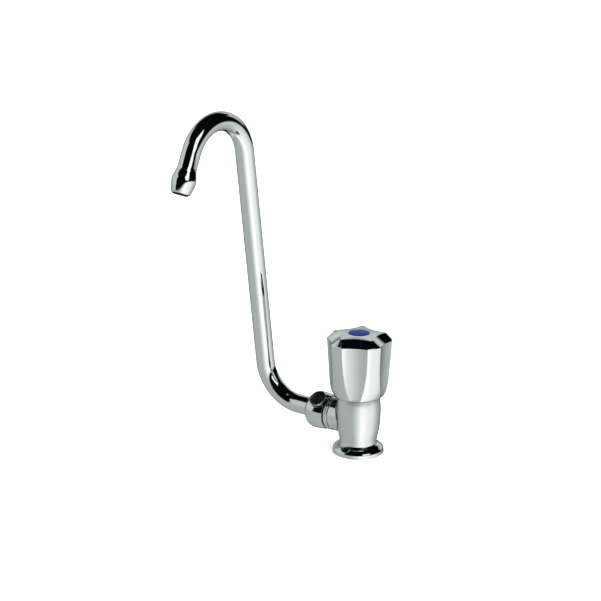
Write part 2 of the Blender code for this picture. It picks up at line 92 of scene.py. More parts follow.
def skin(rows, closed_rows=False):
    """Quads between equal loops of points; each loop is closed, and closed_rows joins the last loop to the first."""
    a = np.asarray(rows, float)
    nr, nc = a.shape[:2]
    last = nr if closed_rows else nr - 1
    i = np.arange(last)[:, None]
    j = np.arange(nc)[None, :]
    i2, j2 = (i + 1) % nr, (j + 1) % nc
    quads = np.stack([i * nc + j + 0 * j, i * nc + j2, i2 * nc + j2, i2 * nc + j], axis=-1).reshape(-1, 4)
    return a.reshape(-1, 3), quads.tolist()


def rounded(points, cuts, k=5, closed=False):
    """Rounds the corners of a line of points, which may be whole loops: each cut is how far from its corner the round starts."""
    pts = [np.asarray(p, float) for p in points]
    n = len(pts)
    out = []
    for i, p in enumerate(pts):
        d = cuts[i] if i < len(cuts) else 0
        if not d or (not closed and i in (0, n - 1)):
            out.append(p)
            continue
        q, r = pts[i - 1], pts[(i + 1) % n]
        lq = np.linalg.norm(q - p, axis=-1, keepdims=True)
        lr = np.linalg.norm(r - p, axis=-1, keepdims=True)
        dq, dr = np.minimum(d, 0.42 * lq), np.minimum(d, 0.42 * lr)
        uq, ur = (q - p) / np.maximum(lq, 1e-9), (r - p) / np.maximum(lr, 1e-9)
        a, b = p + uq * dq, p + ur * dr
        out.append(p + uq * dq * 1.16)
        for s in range(k + 1):
            t = s / k
            out.append(a * (1 - t) ** 2 + p * 2 * t * (1 - t) + b * t * t)
        out.append(p + ur * dr * 1.16)
    return out


def smooth_curve(points, per=8):
    """A smooth line through the points, several steps to each span (centripetal)."""
    p = [np.asarray(q, float) for q in points]
    p = [2 * p[0] - p[1]] + p + [2 * p[-1] - p[-2]]
    out = []
    for i in range(1, len(p) - 2):
        p0, p1, p2, p3 = p[i - 1:i + 3]
        t0 = 0.0
        t1 = t0 + np.linalg.norm(p1 - p0) ** 0.5
        t2 = t1 + np.linalg.norm(p2 - p1) ** 0.5
        t3 = t2 + np.linalg.norm(p3 - p2) ** 0.5
        for s in range(per):
            t = t1 + (t2 - t1) * s / per
            a1 = (t1 - t) / (t1 - t0) * p0 + (t - t0) / (t1 - t0) * p1
            a2 = (t2 - t) / (t2 - t1) * p1 + (t - t1) / (t2 - t1) * p2
            a3 = (t3 - t) / (t3 - t2) * p2 + (t - t2) / (t3 - t2) * p3
            b1 = (t2 - t) / (t2 - t0) * a1 + (t - t0) / (t2 - t0) * a2
            b2 = (t3 - t) / (t3 - t1) * a2 + (t - t1) / (t3 - t1) * a3
            out.append((t2 - t) / (t2 - t1) * b1 + (t - t1) / (t2 - t1) * b2)
    out.append(p[-2])
    return out


def turned_rows(profile, n, phase=0.0):
    a = phase + np.arange(n) * 2 * math.pi / n
    c, s = np.cos(a), np.sin(a)
    return [np.stack([r * c, r * s, np.full(n, z)], axis=-1) for r, z in profile]


def turned(name, profile, n=96, place=None, closed=True, phase=0.0, sharp=34.0):
    """Turns a profile of (radius, height) about its own Z. A closed one is a ring; an open one runs from axis to axis."""
    pts, faces = skin(turned_rows(profile, n, phase), closed)
    return mesh_of(name, pts, faces, place, sharp)


def finish_boolean(o, tool, operation, sharp=34.0):
    """Cuts or joins for good, then marks the sharp edges again."""
    m = o.modifiers.new("cut", "BOOLEAN")
    m.operation = operation
    m.object = tool
    m.solver = "EXACT"
    dg = bpy.context.evaluated_depsgraph_get()
    me = bpy.data.meshes.new_from_object(o.evaluated_get(dg), depsgraph=dg)
    o.modifiers.remove(m)
    old = o.data
    o.data = me
    bpy.data.meshes.remove(old)
    bpy.data.objects.remove(tool, do_unlink=True)
    me.shade_smooth()
    me.set_sharp_from_angle(angle=math.radians(sharp))
    return o


def dress(o, mat, body, slot, *nodes):
    o.data.materials.clear()
    o.data.materials.append(mat)
    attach(o, body)
    if nodes:
        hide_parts(*nodes)
    return o


def across(width_flats):
    """Radius of a six-sided section at each angle."""
    def r(a):
        d = (a + math.pi / 6) % (math.pi / 3) - math.pi / 6
        return width_flats / 2 / np.cos(d)
    return r


# ---------------------------------------------------------------- finishes
def new_material(name):
    m = bpy.data.materials.new(name)
    m.use_nodes = True
    nt = m.node_tree
    return m, nt, nt.nodes["Principled BSDF"]


def add(nt, kind, **values):
    n = nt.nodes.new(kind)
    for k, v in values.items():
        if hasattr(n, k):
            setattr(n, k, v)
        else:
            n.inputs[k].default_value = v
    return n


def noise(nt, coords, scale, detail=3.0, rough=0.5):
    n = add(nt, "ShaderNodeTexNoise")
    n.inputs["Scale"].default_value = scale
    n.inputs["Detail"].default_value = detail
    n.inputs["Roughness"].default_value = rough
    nt.links.new(coords, n.inputs["Vector"])
    return n


def spread(nt, value, lo, hi, a=0.3, b=0.7):
    n = add(nt, "ShaderNodeMapRange")
    n.inputs["From Min"].default_value = a
    n.inputs["From Max"].default_value = b
    n.inputs["To Min"].default_value = lo
    n.inputs["To Max"].default_value = hi
    nt.links.new(value, n.inputs["Value"])
    return n.outputs["Result"]


def bump(nt, height, distance, strength=1.0, under=None):
    n = add(nt, "ShaderNodeBump")
    n.inputs["Strength"].default_value = strength
    n.inputs["Distance"].default_value = distance
    nt.links.new(height, n.inputs["Height"])
    if under is not None:
        nt.links.new(under, n.inputs["Normal"])
    return n.outputs["Normal"]


def blend_colour(nt, factor, a, b):
    n = add(nt, "ShaderNodeMix", data_type="RGBA")
    n.inputs["A"].default_value = (*a, 1)
    n.inputs["B"].default_value = (*b, 1)
    nt.links.new(factor, n.inputs["Factor"])
    return n.outputs["Result"]


def chrome(name, tint=(0.81, 0.82, 0.82), rough=(0.025, 0.06), wave=0.9, rim=0.3, satin=None):
    """Bright plate: the soft waviness of polished metal under it, and very fine wiping marks. Chromium reflects less near grazing.

    satin gives the roughness of a duller band: the turned barrel, above the foot and inside the stub's root."""
    m, nt, p = new_material(name)
    co = add(nt, "ShaderNodeTexCoord").outputs["Object"]
    cloud = noise(nt, co, 90, 4)
    gloss = spread(nt, cloud.outputs["Fac"], rough[0], rough[1])
    if satin:
        place = add(nt, "ShaderNodeSeparateXYZ")
        nt.links.new(co, place.inputs["Vector"])
        flat = add(nt, "ShaderNodeCombineXYZ")
        nt.links.new(place.outputs["X"], flat.inputs["X"])
        nt.links.new(place.outputs["Y"], flat.inputs["Y"])
        out = add(nt, "ShaderNodeVectorMath", operation="LENGTH")
        nt.links.new(flat.outputs["Vector"], out.inputs[0])
        both = add(nt, "ShaderNodeMath", operation="MULTIPLY")
        nt.links.new(spread(nt, out.outputs["Value"], 1, 0, 0.0149, 0.0155), both.inputs[0])
        nt.links.new(spread(nt, place.outputs["Z"], 0, 1, 0.0070, 0.0082), both.inputs[1])
        fleck = spread(nt, noise(nt, co, 420, 5, 0.7).outputs["Fac"], satin[0], satin[1])
        mix = add(nt, "ShaderNodeMix")
        nt.links.new(both.outputs["Value"], mix.inputs["Factor"])
        nt.links.new(gloss, mix.inputs["A"])
        nt.links.new(fleck, mix.inputs["B"])
        gloss = mix.outputs["Result"]
    nt.links.new(gloss, p.inputs["Roughness"])
    nt.links.new(blend_colour(nt, spread(nt, cloud.outputs["Fac"], 0, 1), tint, tuple(0.97 * c for c in tint)), p.inputs["Base Color"])
    p.inputs["Metallic"].default_value = 1.0
    p.inputs["Specular Tint"].default_value = (rim, rim, rim, 1)
    swell = noise(nt, co, 55, 1)
    fine = noise(nt, co, 900, 2)
    first = bump(nt, swell.outputs["Fac"], 0.00003, wave)
    nt.links.new(bump(nt, fine.outputs["Fac"], 0.0000012, 0.6, first), p.inputs["Normal"])
    return m


def turned_metal(name, colour, dark, rough=(0.2, 0.34), axis="Z", pitch=0.0004, depth=0.000012):
    """Metal as it leaves the lathe: faint rings across its axis, and small changes of tone."""
    m, nt, p = new_material(name)
    co = add(nt, "ShaderNodeTexCoord").outputs["Object"]
    cloud = noise(nt, co, 160, 5)
    nt.links.new(blend_colour(nt, spread(nt, cloud.outputs["Fac"], 0, 1), colour, dark), p.inputs["Base Color"])
    nt.links.new(spread(nt, cloud.outputs["Fac"], rough[0], rough[1]), p.inputs["Roughness"])
    p.inputs["Metallic"].default_value = 1.0
    rings = add(nt, "ShaderNodeTexWave", bands_direction=axis)
    rings.inputs["Scale"].default_value = 0.314 / pitch
    rings.inputs["Distortion"].default_value = 0.6
    rings.inputs["Detail"].default_value = 2.0
    nt.links.new(co, rings.inputs["Vector"])
    nt.links.new(bump(nt, rings.outputs["Fac"], depth, 0.7), p.inputs["Normal"])
    return m


def brushed_steel(name):
    m, nt, p = new_material(name)
    co = add(nt, "ShaderNodeTexCoord").outputs["Object"]
    stretch = add(nt, "ShaderNodeMapping")
    stretch.inputs["Scale"].default_value = (1, 1, 18)
    nt.links.new(co, stretch.inputs["Vector"])
    hair = noise(nt, stretch.outputs["Vector"], 260, 5)
    nt.links.new(blend_colour(nt, spread(nt, hair.outputs["Fac"], 0, 1), (0.60, 0.61, 0.62), (0.46, 0.47, 0.49)), p.inputs["Base Color"])
    nt.links.new(spread(nt, hair.outputs["Fac"], 0.24, 0.42), p.inputs["Roughness"])
    p.inputs["Metallic"].default_value = 1.0
    nt.links.new(bump(nt, hair.outputs["Fac"], 0.000012, 0.6), p.inputs["Normal"])
    return m


def moulded(name, colour, dark, rough, grain=0.00001, grain_scale=1400, shine=0.5):
    """Moulded rubber or plastic: small changes of tone, a fine grain."""
    m, nt, p = new_material(name)
    co = add(nt, "ShaderNodeTexCoord").outputs["Object"]
    cloud = noise(nt, co, 220, 4)
    nt.links.new(blend_colour(nt, spread(nt, cloud.outputs["Fac"], 0, 1), colour, dark), p.inputs["Base Color"])
    nt.links.new(spread(nt, cloud.outputs["Fac"], rough[0], rough[1]), p.inputs["Roughness"])
    grain_tex = noise(nt, co, grain_scale, 3)
    nt.links.new(bump(nt, grain_tex.outputs["Fac"], grain, 0.7), p.inputs["Normal"])
    p.inputs["Specular IOR Level"].default_value = shine
    return m


CHROME_BODY = chrome("chrome_plate_body", satin=(0.17, 0.27))
CHROME_HANDLE = chrome("chrome_on_plastic_handle", (0.81, 0.82, 0.825), (0.02, 0.05), 0.6)
CHROME_TUBE = chrome("chrome_plate_tube", rough=(0.03, 0.07), wave=0.6)
CHROME_SMALL = chrome("chrome_plate_small_parts", rough=(0.03, 0.07), wave=0.4)
CHROME_SCREW = chrome("chrome_plate_screw", (0.40, 0.44, 0.50), (0.15, 0.21), 0.4)
BRASS = turned_metal("turned_brass", (0.74, 0.56, 0.26), (0.60, 0.43, 0.18))
STEEL = brushed_steel("zinc_plated_steel")
RUBBER = moulded("black_rubber", (0.022, 0.022, 0.023), (0.012, 0.012, 0.012), (0.55, 0.75), 0.00002)
FIBRE = moulded("red_fibre", (0.42, 0.10, 0.06), (0.30, 0.065, 0.04), (0.6, 0.8), 0.00003, 700)
BLACK = moulded("black_plastic", (0.010, 0.010, 0.011), (0.006, 0.006, 0.007), (0.28, 0.42), shine=0.2)
BLUE = moulded("blue_plastic", (0.006, 0.011, 0.13), (0.004, 0.008, 0.11), (0.3, 0.42), 0.000004, 900, shine=0.05)


# ---------------------------------------------------------------- body casting
def barrel_profile():
    """Outer line of the body above the foot, (radius, height)."""
    return smooth_curve([(12.3, 6.95), (12.33, 7.6), (12.5, 9.4), (13.15, 12.4), (13.9, 16.2), (14.4, 20.0), (14.8, 25.5), (14.9, 31.0),
                         (14.6, 35.6), (14.2, 38.4)], 7)


BARREL = np.array(barrel_profile())


def barrel_radius(z):
    return np.interp(z, BARREL[:, 1], BARREL[:, 0])


def body_profile():
    low, high = np.radians(FOOT_SLOPE)
    foot = rounded([(0, 0), (FOOT_R - 0.05, 0), (FOOT_R, 0.9), (FOOT_R, FOOT_RIM_H)], [0, 0.55, 0, 0])
    foot = [(0, 0), (8, 0), (14, 0)] + [tuple(q) for q in foot[1:]]
    shoulder = [(FOOT_R - FOOT_ROUND * (1 - math.cos(q)), FOOT_RIM_H + FOOT_ROUND * math.sin(q)) for q in np.linspace(0, low, 12)[1:]]
    r, z = shoulder[-1]
    wide = (r - WAIST_R) / (math.cos(low) - math.cos(high))
    shoulder += [(r - wide * (math.cos(low) - math.cos(q)), z + wide * (math.sin(q) - math.sin(low))) for q in np.linspace(low, high, 12)[1:]]
    neck = [(12.5, z + wide * (math.sin(high) - math.sin(low)) + 0.12), (12.36, 6.6)]
    top = rounded([tuple(BARREL[-1]), (14.1, BODY_TOP_Z), (12.0, BODY_TOP_Z)], [0, 0.35, 0])
    return foot + shoulder + neck + [tuple(q) for q in BARREL] + [tuple(q) for q in top[1:]] + [(6, BODY_TOP_Z), (0, BODY_TOP_Z)]


def stub_rows(n=176, line=0.55, depth=0.5):
    """The side stub, with the fine dark line all round where it meets the barrel."""
    a = np.arange(n) * 2 * math.pi / n
    c, s = np.cos(a), np.sin(a)

    def ring(r, out):
        return np.stack([-out + 0 * c, r * c, STUB_Z + r * s], axis=-1)

    rows = [ring(0.0, STUB_END), ring(5.0, STUB_END)]
    rows += rounded([ring(STUB_R - 1.5, STUB_END), ring(STUB_R, STUB_END), ring(STUB_R, STUB_END - 1.0)], [0, 0.3, 0])
    meets = np.sqrt(barrel_radius(STUB_Z + STUB_R * s) ** 2 - (STUB_R * c) ** 2)
    edge = meets + line
    for t in (0.15, 0.4, 0.7, 0.9):
        rows.append(ring(STUB_R, (STUB_END - 1.0) * (1 - t) + edge * t))
    rows += rounded([ring(STUB_R, edge + 0.3), ring(STUB_R, edge), ring(STUB_R - depth, edge), ring(STUB_R - depth, edge - 0.3)],
                    [0, 0.1, 0.08, 0], 3)[1:]
    rows += [ring(STUB_R - depth, meets - 1.2), ring(5.0, 7.0), ring(0.0, 7.0)]
    return rows


tap_body = turned("tap_body_fine", body_profile(), 168, closed=False)
pts, faces = skin(stub_rows())
finish_boolean(tap_body, mesh_of("stub", pts, faces), "UNION")
bores = [(0, -1), (8.6, -1), (8.6, 9.3), (4.5, 9.3), (4.5, 15.0), (6.1, 15.0), (6.6, 13.0), (9.0, 13.0), (9.0, 28.0), (10.0, 28.8),
         (10.0, 37.4), (12.3, 37.4), (12.3, 40.0), (0, 40.0)]
finish_boolean(tap_body, turned("bores", bores, 72, closed=False, phase=0.013), "DIFFERENCE")
side = [(0, 4.0), (4.5, 4.0), (4.5, 11.0), (6.8, 11.0), (6.8, 16.2), (8.4, 16.2), (8.4, 19.1), (0, 19.1)]
finish_boolean(tap_body, turned("side_bore", side, 64, FOLD, closed=False, phase=0.011), "DIFFERENCE")
finish_boolean(tap_body, turned("recess", [(12.0, -1), (15.6, -1), (15.6, 1.3), (12.0, 1.3)], 96, phase=0.017), "DIFFERENCE")
dress(tap_body, CHROME_BODY, "tap", "chrome_plate", "tap_body")


# ---------------------------------------------------------------- handle
LOBE_TABLE = smooth_curve([(39.3, 15.9), (39.8, 16.6), (41.0, 17.45), (42.8, 18.2), (45.2, 18.95), (48.3, 19.5), (53.0, 20.0),
                           (60.0, 20.6), (69.0, 21.3), (77.7, 21.85)], 6)
FLUTE_DEPTH = ((39.3, 0.45), (43.8, 0.85), (50.3, 1.6), (60.0, 2.4), (69.0, 2.7), (77.7, 2.8))
ON_LOBE, ON_CREASE, ON_FLUTE = 7, 6, 12


def half_lobe_angle(lobe_r, depth):
    """Half the angle that a lobe keeps between the two flutes that cut it."""
    far = lobe_r - depth + FLUTE_ARC_R
    cosine = (far * far + lobe_r * lobe_r - FLUTE_ARC_R ** 2) / (2 * far * lobe_r)
    return math.pi / LOBES - math.acos(min(1.0, cosine))


def section(z, lobe_r, depth, crease=0.05):
    """One loop of the handle: round lobes and hollow flutes, with the edge between them just softened."""
    lobe_half = half_lobe_angle(lobe_r, depth)
    far = lobe_r - depth + FLUTE_ARC_R
    w = 0.022
    half = math.pi / LOBES
    u = np.concatenate([np.linspace(0, lobe_half - w, ON_LOBE, endpoint=False),
                        np.linspace(lobe_half - w, lobe_half + w, ON_CREASE, endpoint=False),
                        np.linspace(lobe_half + w, half, ON_FLUTE, endpoint=False)])
    u = np.concatenate([u, 2 * half - np.concatenate([[half], u[:0:-1]])])
    d = half - np.where(u > half, 2 * half - u, u)
    hollow = far * np.cos(d) - np.sqrt(FLUTE_ARC_R ** 2 - (far * np.sin(d)) ** 2)
    r = 0.5 * (lobe_r + hollow - np.sqrt((lobe_r - hollow) ** 2 + crease ** 2))
    a = np.concatenate([math.radians(LOBE_ANGLE) + k * 2 * half + u for k in range(LOBES)])
    r = np.tile(r, LOBES)
    return np.stack([r * np.cos(a), r * np.sin(a), np.full(len(a), z)], axis=-1)


def top_outline(z, corner_r=17.8, mid_r=12.5, corner_half=0.055):
    """The five-cornered top face: small round corners, hollow sides."""
    half = math.pi / LOBES
    u = np.concatenate([np.linspace(0, corner_half * 0.8, ON_LOBE, endpoint=False),
                        np.linspace(corner_half * 0.8, corner_half * 1.3, ON_CREASE, endpoint=False),
                        np.linspace(corner_half * 1.3, half, ON_FLUTE, endpoint=False)])
    u = np.concatenate([u, 2 * half - np.concatenate([[half], u[:0:-1]])])
    d = half - np.where(u > half, 2 * half - u, u)
    cy, cx = corner_r * math.sin(half - corner_half), corner_r * math.cos(half - corner_half)
    sag = cx - mid_r
    arc = (cy * cy + sag * sag) / (2 * sag)
    far = mid_r + arc
    hollow = far * np.cos(d) - np.sqrt(np.maximum(arc ** 2 - (far * np.sin(d)) ** 2, 0.0))
    r = 0.5 * (corner_r + hollow - np.sqrt((corner_r - hollow) ** 2 + 0.12 ** 2))
    a = np.concatenate([math.radians(LOBE_ANGLE) + k * 2 * half + u for k in range(LOBES)])
    r = np.tile(r, LOBES)
    return np.stack([r * np.cos(a), r * np.sin(a), np.full(len(a), z)], axis=-1)


def handle_rows():
    wall = [section(z, r, np.interp(z, *np.array(FLUTE_DEPTH).T)) for z, r in LOBE_TABLE]
    n = wall[0].shape[0]
    angles = np.arctan2(wall[-1][:, 1], wall[-1][:, 0])

    def ring(r, z):
        return np.stack([r * np.cos(angles), r * np.sin(angles), np.full(n, z)], axis=-1)

    edge = rounded([wall[-2], wall[-1], top_outline(HANDLE_TOP), ring(9.2, HANDLE_TOP + 0.45), ring(7.17, HANDLE_TOP + 0.5),
                    ring(7.15, 79.5), ring(4.7, 79.5), ring(4.7, 76.0), ring(2.4, 76.0)],
                   [0, 0.38, 0.38, 0, 0.16, 0.1, 0.2, 0.1, 0])
    inside = rounded([ring(2.4, 58.0), ring(7.4, 58.0), ring(7.8, 74.4), ring(15.0, 74.4), ring(15.7, 72.6), ring(15.2, 47.0),
                      ring(13.8, 43.0), ring(12.7, 40.6), ring(12.7, HANDLE_BOTTOM), wall[0]],
                     [0, 0.4, 0.6, 0.6, 0.6, 1.0, 0.6, 0.3, 0.2, 0])
    return wall[:-1] + edge[1:] + inside[:-1]


pts, faces = skin(handle_rows(), True)
handle = mesh_of("handle_fine", pts, faces, sharp=40)


def splined_rows(crest, root, z0, z1, teeth=12, per=8):
    a = np.arange(teeth * per) * 2 * math.pi / (teeth * per)
    r = root + (crest - root) * np.clip(0.5 + 0.9 * np.cos(teeth * a), 0, 1)
    rows = []
    for z in (z0, z1):
        rows.append(np.stack([r * np.cos(a), r * np.sin(a), np.full(len(a), z)], axis=-1))
    zero = [np.stack([0 * a, 0 * a, np.full(len(a), z)], axis=-1) for z in (z0, z1)]
    return [zero[0], rows[0], rows[1], zero[1]]


pts, faces = skin(splined_rows(4.4, 4.0, 57.0, 73.4))
finish_boolean(handle, mesh_of("socket", pts, faces), "DIFFERENCE", 40)
dress(handle, CHROME_HANDLE, "handle_and_spindle", "chrome_on_plastic", "handle")

disc = rounded([(0, 81.4), (6.2, 81.4), (6.2, 79.8), (7.0, 79.8), (7.0, 82.4), (4.4, 82.85), (0, 82.95)],
               [0, 0.2, 0.1, 0.1, 0.3, 0.8, 0])
dress(turned("cold_indicator_fine", disc, 112, closed=False), BLUE, "handle_and_spindle", "blue_plastic", "cold_indicator")


# ---------------------------------------------------------------- swivel
spigot_profile = rounded([
    (SPIGOT_BORE_R, 11.4), (6.1, 11.4), (6.5, 11.8), (6.5, STUB_END + GAP), (COLLAR_R, STUB_END + GAP), (COLLAR_R, STUB_END + 1.4),
    (COLLAR_R - 0.55, STUB_END + 1.6), (COLLAR_R - 0.55, STUB_END + 1.9), (COLLAR_R, STUB_END + 2.1), (COLLAR_R, COLLAR_END - 0.3),
    (SPIGOT_R, COLLAR_END - 0.3), (SPIGOT_R, 23.2), (5.9, 23.2), (5.9, 25.2), (SPIGOT_R, 25.2), (SPIGOT_R, 30.2), (5.9, 30.2),
    (5.9, 32.2), (SPIGOT_R, 32.2), (SPIGOT_R, SPIGOT_END), (SPIGOT_BORE_R, SPIGOT_END)],
    [0.2, 0.2, 0.2, 0.2, 0.28, 0.1, 0.1, 0.1, 0.1, 0.18, 0.2, 0.1, 0.1, 0.1, 0.1, 0.1, 0.1, 0.1, 0.1, 0.5, 0.2], closed=True)
spigot = turned("swivel_spigot_fine", spigot_profile, 120, FOLD)


def groove_rows():
    first, last = math.radians(SCREW_LEAN - FOLD_FORWARD - 14), math.radians(SCREW_LEAN + FOLD_BACK + 14)
    rows = []
    for i in range(65):
        a = first + (last - first) * i / 64
        rows.append([(r * math.cos(a), r * math.sin(a), z) for r, z in ((6.0, 26.2), (9.0, 26.2), (9.0, 29.4), (6.0, 29.4))])
    return rows


def capped(rows):
    """A closed solid: loops joined in a row, with both ends filled."""
    p, q = skin(rows)
    n, m = len(rows[0]), len(rows)
    return p, q + [list(range(n)), list(range((m - 1) * n, m * n))]


pts, faces = capped(groove_rows())
finish_boolean(spigot, mesh_of("guide_groove", pts, faces, FOLD), "DIFFERENCE")
dress(spigot, CHROME_SMALL, "tap", "chrome_plate", "swivel_spigot")

ring = rounded([(7.9, COLLAR_END - 0.2), (COLLAR_R - 0.16, COLLAR_END - 0.2), (COLLAR_R - 0.16, KNUCKLE_START + 0.2),
                (7.9, KNUCKLE_START + 0.2)], [0.05] * 4, 3, closed=True)
dress(turned("swivel_washer_fine", ring, 96, FOLD), BLACK, "tap", "black_plastic", "swivel_washer")

swell = (KNUCKLE_WIDE - KNUCKLE_NECK) / (WIDE_AT - KNUCKLE_START) ** 2
taper = [(KNUCKLE_WIDE - swell * (WIDE_AT - d) ** 2, d) for d in np.linspace(KNUCKLE_START + 0.3, WIDE_AT, 16)]
dome = [(KNUCKLE_WIDE - DOME_R[0] * (1 - math.cos(a)), DOME_START + DOME_R[1] * math.sin(a)) for a in np.radians(np.linspace(0, 80, 24))]
knuckle_profile = rounded([(7.8, taper[0][1]), taper[0], taper[1]], [0.15, 0.22, 0])
knuckle_profile += [np.array(q) for q in taper[2:] + dome]
knuckle_profile += rounded([dome[-1], (7.1, KNUCKLE_END), (6.65, KNUCKLE_END), (6.65, 35.7), (5.0, 35.7), (5.0, 35.2), (7.8, 34.7)],
                           [0, 0.2, 0.1, 0.1, 0.1, 0.1, 0])[1:]
knuckle = turned("spout_knuckle_fine", knuckle_profile, 144, FOLD)
seat = [(0, 6.2), (2.8, 6.2), (2.8, 10.5), (5.7, 10.5), (5.7, 16), (0, 16)]
finish_boolean(knuckle, turned("screw_seat", seat, 72, RADIAL, closed=False, phase=0.01), "DIFFERENCE")
dress(knuckle, CHROME_SMALL, "spout", "chrome_plate", "spout_knuckle")

screw = rounded([(0, 6.4), (1.3, 6.4), (1.3, 8.15), (2.5, 8.15), (2.5, 10.8), (5.0, 10.8), (5.1, 12.75), (5.8, 12.95), (5.8, 14.35),
                 (3.6, 14.55), (0, 14.6)], [0, 0.3, 0.1, 0.1, 0.1, 0.2, 0.15, 0.15, 0.25, 1.2, 0])
dress(turned("retaining_screw_fine", screw, 96, RADIAL, closed=False), CHROME_SCREW, "spout", "chrome_plate", "retaining_screw")


# ---------------------------------------------------------------- spout tube
UP, ACROSS, OUT = np.eye(3)


def spout_path():
    """The tube's centre line in its own frame: points with their heading and the first direction across it."""
    pts = [(OUT * d, OUT, ACROSS) for d in (TUBE_START, TUBE_START + 3, BEND_START - 3, BEND_START - 0.6)]
    for a in np.linspace(0, math.pi / 2, 45):
        pts.append((OUT * (BEND_START + BEND_R * math.sin(a)) + UP * BEND_R * (1 - math.cos(a)),
                    OUT * math.cos(a) + UP * math.sin(a), ACROSS))
    foot = pts[-1][0]
    for d in np.linspace(0, UPRIGHT_LEN, 26)[1:-1]:
        pts.append((foot + UP * d, UP, ACROSS))
    top = foot + UP * UPRIGHT_LEN
    for a in np.radians(np.linspace(0, HOOK_TURN, 76)):
        pts.append((top + UP * HOOK_R * math.sin(a) - ACROSS * HOOK_R * (1 - math.cos(a)),
                    UP * math.cos(a) - ACROSS * math.sin(a), ACROSS * math.cos(a) + UP * math.sin(a)))
    return pts


# the formed end: distance up from the mouth, outer radius
NOZZLE = [(17.15, 6.35), (15.2, 6.62), (12.8, 7.25), (10.4, 7.85), (9.0, 8.05), (7.5, 7.95), (3.5, 7.15), (0.8, 6.45), (0.22, 6.2),
          (0.0, 5.85)]
NOZZLE_BORE = [(0.05, 5.45), (1.0, 5.4), (2.5, 6.3), (7.8, 7.0), (10.0, 6.9), (15.4, 5.65), (17.0, 5.45)]


def tube_rows(n=72):
    path = spout_path()
    c = np.arange(n)[:, None] * 2 * math.pi / n

    def loop(centre, heading, side_way, r):
        return centre + r * np.cos(c) * side_way + r * np.sin(c) * np.cross(heading, side_way)

    end, heading, side_way = path[-1]
    rows = [loop(*q, TUBE_R) for q in path]
    for t, r in smooth_curve(NOZZLE[:-2], 5) + [np.array(q) for q in NOZZLE[-2:]] + [np.array(q) for q in NOZZLE_BORE]:
        rows.append(loop(end + heading * (LEG_LEN - t), heading, side_way, r))
    rows += [loop(*q, TUBE_R - TUBE_WALL) for q in reversed(path)]
    return rows


pts, faces = skin(tube_rows(), True)
tube = mesh_of("spout_tube_fine", pts, faces, SWUNG, sharp=40)
dress(tube, CHROME_TUBE, "spout", "chrome_plate", "spout_tube")

end, heading, _ = spout_path()[-1]
MOUTH = SWUNG @ Matrix.Translation(Vector(end + heading * LEG_LEN) * MM) @ Vector(-heading).to_track_quat("Z", "Y").to_matrix().to_4x4()
insert = turned("flow_straightener_fine", rounded([(0, -0.7), (5.2, -0.7), (5.25, 1.7), (5.8, 3.2), (6.3, 6.8), (5.9, 7.4), (0, 7.4)],
                                                  [0, 0.15, 0.3, 0.3, 0.3, 0.2, 0]), 72, MOUTH, closed=False)
for k in range(7):
    x, y = (0.0, 0.0) if k == 0 else (3.2 * math.cos(k * math.pi / 3), 3.2 * math.sin(k * math.pi / 3))
    hole = turned("jet", [(0, -2.5), (1.1, -2.5), (1.1, 10), (0, 10)], 32, MOUTH @ Matrix.Translation((x * MM, y * MM, 0)), closed=False)
    finish_boolean(insert, hole, "DIFFERENCE")
dress(insert, BLACK, "spout", "black_plastic", "flow_straightener")


# ---------------------------------------------------------------- inlet and worktop fixing
def threaded(z, a, crest, pitch, depth, flat=0.16):
    """Radius of a right-hand thread's surface at a height and an angle."""
    p = (z / pitch - a / (2 * math.pi)) % 1.0
    v = np.abs(p - 0.5) * 2
    return crest - depth * np.clip((v - flat) / (1 - 2 * flat), 0, 1)


def shank_rows(n=88):
    a = np.arange(n) * 2 * math.pi / n
    c, s = np.cos(a), np.sin(a)

    def loop(r, z):
        r = np.broadcast_to(r, (n,))
        return np.stack([r * c, r * s, np.full(n, z)], axis=-1)

    rows = [loop(7.9, 9.0), loop(8.3, 8.4), loop(8.3, -GAP), loop(SHANK_R - 1.1, -GAP)]
    for z in np.arange(-0.6, -31.6, -0.16):
        r = threaded(z, a, SHANK_R, 1.814, 1.1)
        edge = min(-GAP - z, z + 32.0)
        rows.append(loop(np.minimum(r, SHANK_R - 1.1 + max(0.0, edge)), z))
    rows += [loop(SHANK_R - 1.0, -32.0), loop(6.5, -32.0)]
    z = -33.0
    for _ in range(3):
        rows += [loop(5.45, z + 0.05), loop(6.32, z - 0.02), loop(6.4, z - 0.25), loop(5.95, z - 2.3), loop(5.5, z - 4.1)]
        z -= 4.2
    rows += [loop(5.3, z - 0.3), loop(5.0, z - 0.72), loop(4.8, z - 0.8), loop(4.3, z - 0.8), loop(4.2, z - 0.6), loop(4.2, 9.0)]
    return rows


pts, faces = skin(shank_rows(), True)
dress(mesh_of("inlet_shank_fine", pts, faces, sharp=30), BRASS, "tap", "turned_brass", "inlet_shank")

top = -WORKTOP - GAP
washer = rounded([(10.9, top - 2.0), (15.6, top - 2.0), (15.6, top), (10.9, top)], [0.3] * 4, closed=True)
dress(turned("clamp_washer_rubber_fine", washer, 96), RUBBER, "tap", "black_rubber", "clamp_washer_rubber")
top -= 2.0 + GAP
washer = rounded([(10.9, top - 1.2), (16.0, top - 1.2), (16.0, top), (10.9, top)], [0.2] * 4, closed=True)
dress(turned("clamp_washer_steel_fine", washer, 96), STEEL, "tap", "bright_steel", "clamp_washer_steel")
top -= 1.2 + GAP


